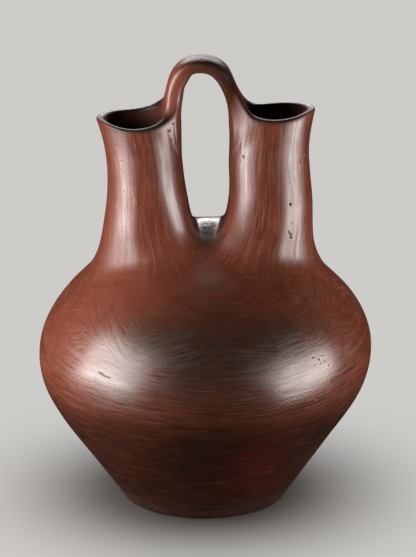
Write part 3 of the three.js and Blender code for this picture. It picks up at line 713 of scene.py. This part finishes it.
def vertex_fields(p):
    x, y, z = p.T
    th = np.arctan2(x - lean(z), -y)
    s = arc_table(np.clip(body_radius(x, y, z), 0, 139), np.clip(z, -15, 215))
    sag = 4 + 13 * ramp(s, 70, 130)
    flow = np.stack([100 * np.cos(th), 100 * np.sin(th), s + sag * np.cos(th)], 1)
    zc = np.clip(z, 135, 292)
    lt, rt = x - left_tube.c(zc), x - right_tube.c(zc)
    ph = np.where(x < 0, np.arctan2(y, lt), np.arctan2(y, rt))
    tube = np.stack([27 * np.cos(ph), 27 * np.sin(ph), z + np.where(x < 0, 0, 500)], 1)
    n = strap_side(x, z)
    strap = np.stack([y, n, strap_s(x, z)], 1)
    fs = np.where(z > 224, f_strap(x, y, z), 50.0)
    w_strap = ramp(z, 262, 288) * ramp(6.5 - fs, 0, 6)
    fo = f_out(x, y, z)
    w_in = ramp(-fo, 1.2, 4.6) * (1 - w_strap)
    w_tube = ramp(z, 160, 190) * ramp(np.abs(x), 0, 7)
    lip = ramp(z - rim_height(x, y) + 4.5, 0, 4.2) * (1 - w_strap) * (z > 240)
    return {
        "flow": flow, "tube": tube, "strap": strap,
        "zone": np.stack([w_tube, w_strap, w_in], 1),
        "tint": np.stack([blobs(p, SMOKE_AND_SHADE), blobs(p, GLOW), blobs(p, PAINTED_LIGHT)], 1),
        "rim": np.stack([lip, s, marks(p)[0]], 1),
        # duller zones, the near rims, and painted shade
        "worn": np.stack([blobs(p, MATTE), lip * ramp(-y, 0, 6), blobs(p, SHADE)], 1),
    }


def dress(ob):
    """exact normals on the skin, flat ones on the joint faces, and the stroke coordinates"""
    me = ob.data
    nv, nl, nf = len(me.vertices), len(me.loops), len(me.polygons)
    co = np.empty(nv * 3, np.float32)
    me.vertices.foreach_get("co", co)
    p = co.reshape(-1, 3).astype(float) * 1e3
    n = unit(gradient(p))
    _, gm = marks(p)
    n = unit(n + gm - (gm * n).sum(1)[:, None] * n)
    joint = np.zeros(nf, np.float32)
    me.attributes["joint_face"].data.foreach_get("value", joint)
    total = np.empty(nf, np.int32)
    me.polygons.foreach_get("loop_total", total)
    vi = np.empty(nl, np.int32)
    me.loops.foreach_get("vertex_index", vi)
    fn = np.empty(nf * 3, np.float32)
    me.polygons.foreach_get("normal", fn)
    fn = fn.reshape(-1, 3)
    face = np.repeat(np.arange(nf), total)
    cn = n[vi]
    flat = joint[face] > 0.5
    cn[flat] = fn[face][flat]
    bad = (cn * fn[face]).sum(1) < 0.35
    cn[bad] = fn[face][bad]
    me.polygons.foreach_set("use_smooth", joint < 0.5)
    ei = np.empty(nl, np.int32)
    me.loops.foreach_get("edge_index", ei)
    sharp = np.zeros(len(me.edges), bool)
    sharp[ei[flat]] = True
    at = me.attributes.get("sharp_edge") or me.attributes.new("sharp_edge", "BOOLEAN", "EDGE")
    at.data.foreach_set("value", sharp)
    a = me.attributes.new("custom_normal", "FLOAT_VECTOR", "CORNER")
    a.data.foreach_set("vector", cn.astype(np.float32).ravel())
    for k, v in vertex_fields(p).items():
        a = me.attributes.new(k, "FLOAT_VECTOR", "POINT")
        a.data.foreach_set("vector", v.astype(np.float32).ravel())
    me.update()
    return int((~flat & bad).sum())


for n, o in pieces.items():
    odd = dress(o)
    note(f"{n}: {len(o.data.vertices)} v, {len(o.data.polygons)} f, corners kept flat {odd}")


# ------------------------------------------------------------------- materials
class Sock:
    """a node socket that can be calculated with"""

    def __init__(self, tree, s):
        self.t, self.s = tree, s

    def op(self, kind, *others, clamp=False):
        nd = self.t.nodes.new("ShaderNodeMath")
        nd.operation, nd.use_clamp = kind, clamp
        for i, o in enumerate((self,) + others):
            if isinstance(o, Sock):
                self.t.links.new(o.s, nd.inputs[i])
            else:
                nd.inputs[i].default_value = o
        return Sock(self.t, nd.outputs[0])

    def __add__(self, o): return self.op("ADD", o)
    def __sub__(self, o): return self.op("SUBTRACT", o)
    def __mul__(self, o): return self.op("MULTIPLY", o)
    def clip(self): return self.op("ADD", 0.0, clamp=True)
    def power(self, e): return self.op("POWER", e)

    def span(self, lo, hi, a=0.0, b=1.0, smooth=True):
        nd = self.t.nodes.new("ShaderNodeMapRange")
        nd.interpolation_type = "SMOOTHSTEP" if smooth else "LINEAR"
        self.t.links.new(self.s, nd.inputs["Value"])
        for k, v in (("From Min", lo), ("From Max", hi), ("To Min", a), ("To Max", b)):
            nd.inputs[k].default_value = v
        return Sock(self.t, nd.outputs["Result"])


def vec_attr(t, name):
    nd = t.nodes.new("ShaderNodeAttribute")
    nd.attribute_name = name
    return Sock(t, nd.outputs["Vector"])


def parts(v):
    nd = v.t.nodes.new("ShaderNodeSeparateXYZ")
    v.t.links.new(v.s, nd.inputs[0])
    return [Sock(v.t, nd.outputs[i]) for i in range(3)]


def noise(v, scale, detail=2.0, rough=0.5, shift=0.0, distort=0.0):
    """noise of a vector whose three axes are divided by scale"""
    t = v.t
    m = t.nodes.new("ShaderNodeVectorMath")
    m.operation = "MULTIPLY_ADD"
    t.links.new(v.s, m.inputs[0])
    m.inputs[1].default_value = [1.0 / c for c in scale]
    m.inputs[2].default_value = (shift, shift * 0.7, -shift)
    nd = t.nodes.new("ShaderNodeTexNoise")
    nd.noise_dimensions = "3D"
    t.links.new(m.outputs[0], nd.inputs["Vector"])
    nd.inputs["Scale"].default_value = 1.0
    nd.inputs["Detail"].default_value = detail
    nd.inputs["Roughness"].default_value = rough
    nd.inputs["Distortion"].default_value = distort
    return Sock(t, nd.outputs["Fac"])


def mix(f, a, b):
    """float mix"""
    nd = f.t.nodes.new("ShaderNodeMix")
    nd.data_type = "FLOAT"
    f.t.links.new(f.s, nd.inputs[0])
    for i, v in ((2, a), (3, b)):
        if isinstance(v, Sock):
            f.t.links.new(v.s, nd.inputs[i])
        else:
            nd.inputs[i].default_value = v
    return Sock(f.t, nd.outputs[0])


def tint(f, a, b, kind="MIX"):
    """colour mix; a and b are sockets or colours"""
    nd = f.t.nodes.new("ShaderNodeMix")
    nd.data_type, nd.blend_type, nd.clamp_factor = "RGBA", kind, True
    f.t.links.new(f.s, nd.inputs[0])
    for i, v in ((6, a), (7, b)):
        if isinstance(v, Sock):
            f.t.links.new(v.s, nd.inputs[i])
        else:
            nd.inputs[i].default_value = (*v, 1.0)
    return Sock(f.t, nd.outputs[2])


def slip(name):
    """polished clay slip: stroke by stroke colour, with painted light and shade, gloss and relief"""
    mat = bpy.data.materials.new(name)
    mat.use_nodes = True
    t = mat.node_tree
    t.nodes.clear()
    out = t.nodes.new("ShaderNodeOutputMaterial")
    bs = t.nodes.new("ShaderNodeBsdfPrincipled")
    t.links.new(bs.outputs[0], out.inputs[0])
    tc = t.nodes.new("ShaderNodeTexCoord")
    sc = t.nodes.new("ShaderNodeVectorMath")
    sc.operation = "SCALE"
    t.links.new(tc.outputs["Object"], sc.inputs[0])
    sc.inputs["Scale"].default_value = 1000.0
    obj = Sock(t, sc.outputs[0])
    flow, tube, strap = vec_attr(t, "flow"), vec_attr(t, "tube"), vec_attr(t, "strap")
    w_tube, w_strap, w_in = parts(vec_attr(t, "zone"))
    smoke_and_shade, glow, painted_light = parts(vec_attr(t, "tint"))
    lip, arc, dent = parts(vec_attr(t, "rim"))
    matte, near_lip, shade = parts(vec_attr(t, "worn"))
    up = name in ("spout_slip", "saddle_slip", "lip_slip", "handle_slip", "shoulder_slip")
    top = name in ("spout_slip", "lip_slip", "handle_slip")

    ox, oy, oz = parts(obj)
    fx, fy, fz = parts(flow)
    patch = noise(obj, (30, 30, 30), 1.0, 0.5, 57.0)
    across = oz.span(112, 138, 0.06, 1)
    p1 = patch.span(0.50, 0.56) * across
    p2 = patch.span(0.47, 0.41) * across

    def turned(k, m):
        c = t.nodes.new("ShaderNodeCombineXYZ")
        for i, q in enumerate((fx, fy, fz + fx * k + fy * m)):
            t.links.new(q.s, c.inputs[i])
        return Sock(t, c.outputs[0])

    rising, falling = turned(0.55, 0.30), turned(-0.50, -0.35)

    def strokes(w, length, detail=2.0, rough=0.5, shift=0.0, distort=0.0):
        a = noise(flow, (length, length, w), detail, rough, shift, distort)
        if length < 40:
            a = mix(p1, a, noise(rising, (length * 0.7, length * 0.7, w), detail, rough, shift + 4.0, distort))
            a = mix(p2, a, noise(falling, (length * 0.7, length * 0.7, w), detail, rough, shift + 5.0, distort))
        if up:
            b = noise(tube, (w * 1.7, w * 1.7, length * 1.2), detail, rough, shift + 9.0, distort)
            a = mix(w_tube, a, b)
        if top:
            c = noise(strap, (w, w, length), detail, rough, shift + 21.0, distort)
            a = mix(w_strap, a, c)
        return a

    fine = strokes(0.85, 22, 3.0, 0.64, 3.0)
    broad = strokes(2.6, 36, 2.0, 0.55, 11.0, 0.35)
    facet = strokes(6.5, 39, 1.0, 0.5, 17.0, 0.4)
    cloudy = noise(obj, (34, 34, 34), 3.0, 0.55, 2.0, 0.4)
    grain = noise(obj, (0.9, 0.9, 0.9), 2.0, 0.6, 5.0)
    mottle = noise(obj, (9, 9, 9), 3.0, 0.6, 7.0)

    # colour
    lighter = fine.span(0.28, 0.72, 0, 1, False) * 0.5 + broad.span(0.30, 0.70, 0, 1, False) * 0.28 + mottle.span(0.3, 0.7, 0, 1, False) * 0.22
    col = tint(lighter, (0.050, 0.0098, 0.0041), (0.129, 0.0315, 0.0160))
    col = tint(cloudy.span(0.42, 0.66) * 0.5, col, (0.056, 0.0138, 0.0050))
    bright = fine.span(0.57, 0.72) * broad.span(0.46, 0.64)
    band = oz.span(108, 94) * oz.span(30, 52)
    col = tint(bright * (band * 0.40 + 0.42), col, (0.190, 0.056, 0.029))
    dark = strokes(1.1, 30, 2.0, 0.6, 31.0).span(0.57, 0.70)
    col = tint(dark * (band * 0.38 + 0.5), col, (0.018, 0.0056, 0.0022))
    thin = noise(rising, (15, 15, 0.42), 1.0, 0.5, 61.0).span(0.660, 0.70) + noise(falling, (13, 13, 0.40), 1.0, 0.5, 67.0).span(0.665, 0.70)
    thin = thin.clip() * noise(obj, (16, 16, 16), 1.0, 0.5, 71.0).span(0.45, 0.6) * (w_strap * -1.0 + 1.0)
    col = tint(thin * 0.42, col, (0.235, 0.095, 0.055))
    # painted light: the slip lightened on the lit zones
    col = tint(painted_light.op("MAXIMUM", 0.0).op("MINIMUM", 1.6) * 0.45, col, (0.148, 0.0375, 0.0205))
    col = tint(glow.clip() * 0.6, col, (0.080, 0.0048, 0.0020))
    # fire clouds darken the slip; in the cleft under the saddle this is painted shade
    edge = smoke_and_shade * 0.9 + (cloudy - 0.5) * 0.8 + (broad - 0.5) * 1.1 + (fine - 0.5) * 0.7
    smoke_and_shade_mask = (edge.span(0.05, 1.0) * smoke_and_shade.span(0.02, 0.3)).clip()
    col = tint(smoke_and_shade_mask * 0.8, col, (0.0185, 0.0090, 0.0033))
    # painted shade: the cone under the belly darkened toward black, and more near the foot
    col = tint(oz.span(106, 70) * 0.64, col, (0.0, 0.0, 0.0))
    col = tint(arc.span(60, 10, 0, 1) * 0.35, col, (0.016, 0.0060, 0.0020))
    col = tint(glow.clip() * 0.55, col, (0.070, 0.0052, 0.0026))
    flank = ox.op("ABSOLUTE").span(56, 84) * oz.span(128, 112)
    dusk = strokes(0.9, 24, 2.0, 0.62, 87.0).span(0.50, 0.63) * noise(obj, (26, 26, 11), 2.0, 0.55, 89.0).span(0.40, 0.58)
    col = tint(dusk * oz.span(114, 100).op("MAXIMUM", flank) * oz.span(4, 18) * 0.75, col, (0.008, 0.0046, 0.0015))
    streak = strokes(0.50, 19, 2.0, 0.62, 81.0).span(0.54, 0.68) * noise(obj, (17, 17, 8), 2.0, 0.55, 83.0).span(0.44, 0.60)
    col = tint(streak * oz.span(102, 88).op("MAXIMUM", flank) * oz.span(8, 26) * 0.62, col, (0.125, 0.037, 0.0135))
    # painted shade: darker where the lamps reach least
    col = tint(shade.clip() * 0.8, col, (0.006, 0.0034, 0.0016))
    # inside the mouths the rough inner clay is darker, and painted shade deepens it down the spouts
    deep = w_in * oz.span(276, 250, 0.30, 0.95)
    col = tint(deep, col, (0.010, 0.0050, 0.0032))
    # painted shade: a dark band along the rims, lighter at the outer tips of the mouths
    tip = ox.op("ABSOLUTE").span(58, 70, 1, 0.25)
    col = tint(lip * tip * 0.95, col, (0.011, 0.0052, 0.0028))
    speck = noise(obj, (1.5, 1.5, 1.5), 1.0, 0.5, 41.0).span(0.735, 0.78)
    col = tint(speck * 0.8, col, (0.012, 0.006, 0.004))
    col = tint(dent.span(0.02, 0.2) * 0.5, col, (0.014, 0.006, 0.004))
    t.links.new(col.s, bs.inputs["Base Color"])

    # gloss
    r = (fine - 0.5) * 0.55 + (broad - 0.5) * 0.24 + (mottle - 0.5) * 0.10 + 0.345
    r = mix(lip, r, 0.28)
    r = mix(w_in * (lip * -1.0 + 1.0), r, 0.62)
    r = r + smoke_and_shade_mask * 0.03 + dent.span(0.02, 0.2) * 0.25
    r = r + arc.span(26, 4, 0, 0.18)
    dull = (matte + near_lip * 0.95 + w_in * 0.8).clip()
    r = r + dull * 0.22 + matte.op("MINIMUM", 0.0) * 0.10
    t.links.new(r.clip().s, bs.inputs["Roughness"])
    bs.inputs["IOR"].default_value = 1.5
    t.links.new((dull * -0.46 + shade.clip() * -0.20 + 0.62).s, bs.inputs["Specular IOR Level"])
    bs.inputs["Coat Weight"].default_value = 0.0

    # relief, millimetres
    h = fine * 0.075 + broad * 0.090 + facet * 0.10 + grain * 0.004
    b = t.nodes.new("ShaderNodeBump")
    b.inputs["Strength"].default_value = 1.0
    b.inputs["Distance"].default_value = 0.001
    t.links.new(h.s, b.inputs["Height"])
    t.links.new(b.outputs[0], bs.inputs["Normal"])
    return mat


SLOTS = {}
for row in frame["record"]["subparts"]:
    SLOTS[row["node"]] = row["material_slot"]
mats = {s: slip(s) for s in sorted(set(SLOTS.values()))}
for node, ob in pieces.items():
    ob.data.materials.clear()
    ob.data.materials.append(mats[SLOTS[node]])
    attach(ob, "root")
    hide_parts(node)

# ------------------------------------------------------- floor, lights, camera
floor_mat = bpy.data.materials.new("studio_floor")
floor_mat.use_nodes = True
ft = floor_mat.node_tree
fb = ft.nodes["Principled BSDF"]
ftc = ft.nodes.new("ShaderNodeTexCoord")
fn_ = ft.nodes.new("ShaderNodeTexNoise")
fn_.inputs["Scale"].default_value = 260.0
ft.links.new(ftc.outputs["Object"], fn_.inputs["Vector"])
fr = ft.nodes.new("ShaderNodeMapRange")
fr.inputs["To Min"].default_value, fr.inputs["To Max"].default_value = 0.72, 0.82
ft.links.new(fn_.outputs["Fac"], fr.inputs["Value"])
ft.links.new(fr.outputs[0], fb.inputs["Roughness"])
fb.inputs["Base Color"].default_value = (0.56, 0.549, 0.533, 1)
fb.inputs["Specular IOR Level"].default_value = 0.2
N = 96
ring = [(6.0 * math.cos(2 * math.pi * i / N), 6.0 * math.sin(2 * math.pi * i / N), 0.0) for i in range(N)]
fm = bpy.data.meshes.new("floor")
fm.from_pydata(ring, [], [tuple(range(N))])
fm.materials.append(floor_mat)
floor = link(bpy.data.objects.new("floor", fm))
floor.location.z = -0.0002
floor.visible_diffuse = False
floor.visible_glossy = False


def soft_box(name, at, aim, w, h, watts, color=(1, 1, 1), spread=180):
    la = bpy.data.lights.new(name, "AREA")
    la.shape, la.size, la.size_y = "RECTANGLE", w, h
    la.energy, la.color = watts, color
    la.spread = math.radians(spread)
    ob = link(bpy.data.objects.new(name, la))
    ob.location = at
    ob.rotation_euler = (Vector(aim) - Vector(at)).to_track_quat("-Z", "Y").to_euler()
    ob.visible_camera = False
    return ob


soft_box("box_left", (-0.625, -0.29, 0.28), (0, 0, 0.18), 0.52, 0.60, 14.1, (1.0, 0.955, 0.93))
soft_box("box_left_low", (-0.60, -0.27, 0.06), (0, 0, 0.10), 0.44, 0.11, 1.45, (1.0, 0.955, 0.93))
soft_box("box_right", (0.565, -0.26, 0.122), (0, 0, 0.13), 0.44, 0.41, 7.9, (1.0, 0.955, 0.93))
soft_box("box_back", (0.0, 0.93, 0.71), (0, 0, 0.22), 0.8, 0.30, 8.2, (1.0, 0.98, 0.96))

# the soft boxes leave the floor out; an overhead lamp lights it alone and evenly
floor_set = bpy.data.collections.new("floor_set")
floor_set.objects.link(floor)
not_floor = bpy.data.collections.new("not_floor")
not_floor.objects.link(floor)
not_floor.collection_objects[0].light_linking.link_state = "EXCLUDE"
for ob in [o for o in bpy.context.scene.objects if o.type == "LIGHT"]:
    ob.light_linking.receiver_collection = not_floor
sun = bpy.data.lights.new("floor_light", "SUN")
sun.energy, sun.angle = 3.3, math.radians(70)
sun_ob = link(bpy.data.objects.new("floor_light", sun))
sun_ob.light_linking.receiver_collection = floor_set

world = bpy.data.worlds.new("studio")
world.use_nodes = True
bpy.context.scene.world = world
wt = world.node_tree
wb = wt.nodes["Background"]
lp = wt.nodes.new("ShaderNodeLightPath")
wm = wt.nodes.new("ShaderNodeMix")
wm.data_type = "FLOAT"
wt.links.new(lp.outputs["Is Camera Ray"], wm.inputs[0])
wm.inputs[2].default_value, wm.inputs[3].default_value = 0.06, 0.58
wg = wt.nodes.new("ShaderNodeMix")
wg.data_type = "FLOAT"
wt.links.new(lp.outputs["Is Glossy Ray"], wg.inputs[0])
wt.links.new(wm.outputs[0], wg.inputs[2])
wg.inputs[3].default_value = 0.015
wt.links.new(wg.outputs[0], wb.inputs["Strength"])
wb.inputs["Color"].default_value = (1.0, 0.985, 0.965, 1)

cam = bpy.data.cameras.new("camera")
cam.sensor_width = 36.0
cam.lens = 3312.0 / 557.0 * 36.0
cam.clip_start, cam.clip_end = 0.05, 50.0
co = link(bpy.data.objects.new("camera", cam))
tilt = math.radians(18.2)
co.location = (0.0019, -2.3 * math.cos(tilt), 0.15641 + 2.3 * math.sin(tilt))
co.rotation_euler = (math.radians(90) - tilt, 0, 0)
scene = bpy.context.scene
scene.camera = co
scene.view_settings.view_transform = "Standard"
scene.view_settings.look = "None"

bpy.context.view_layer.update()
note("scene ready")
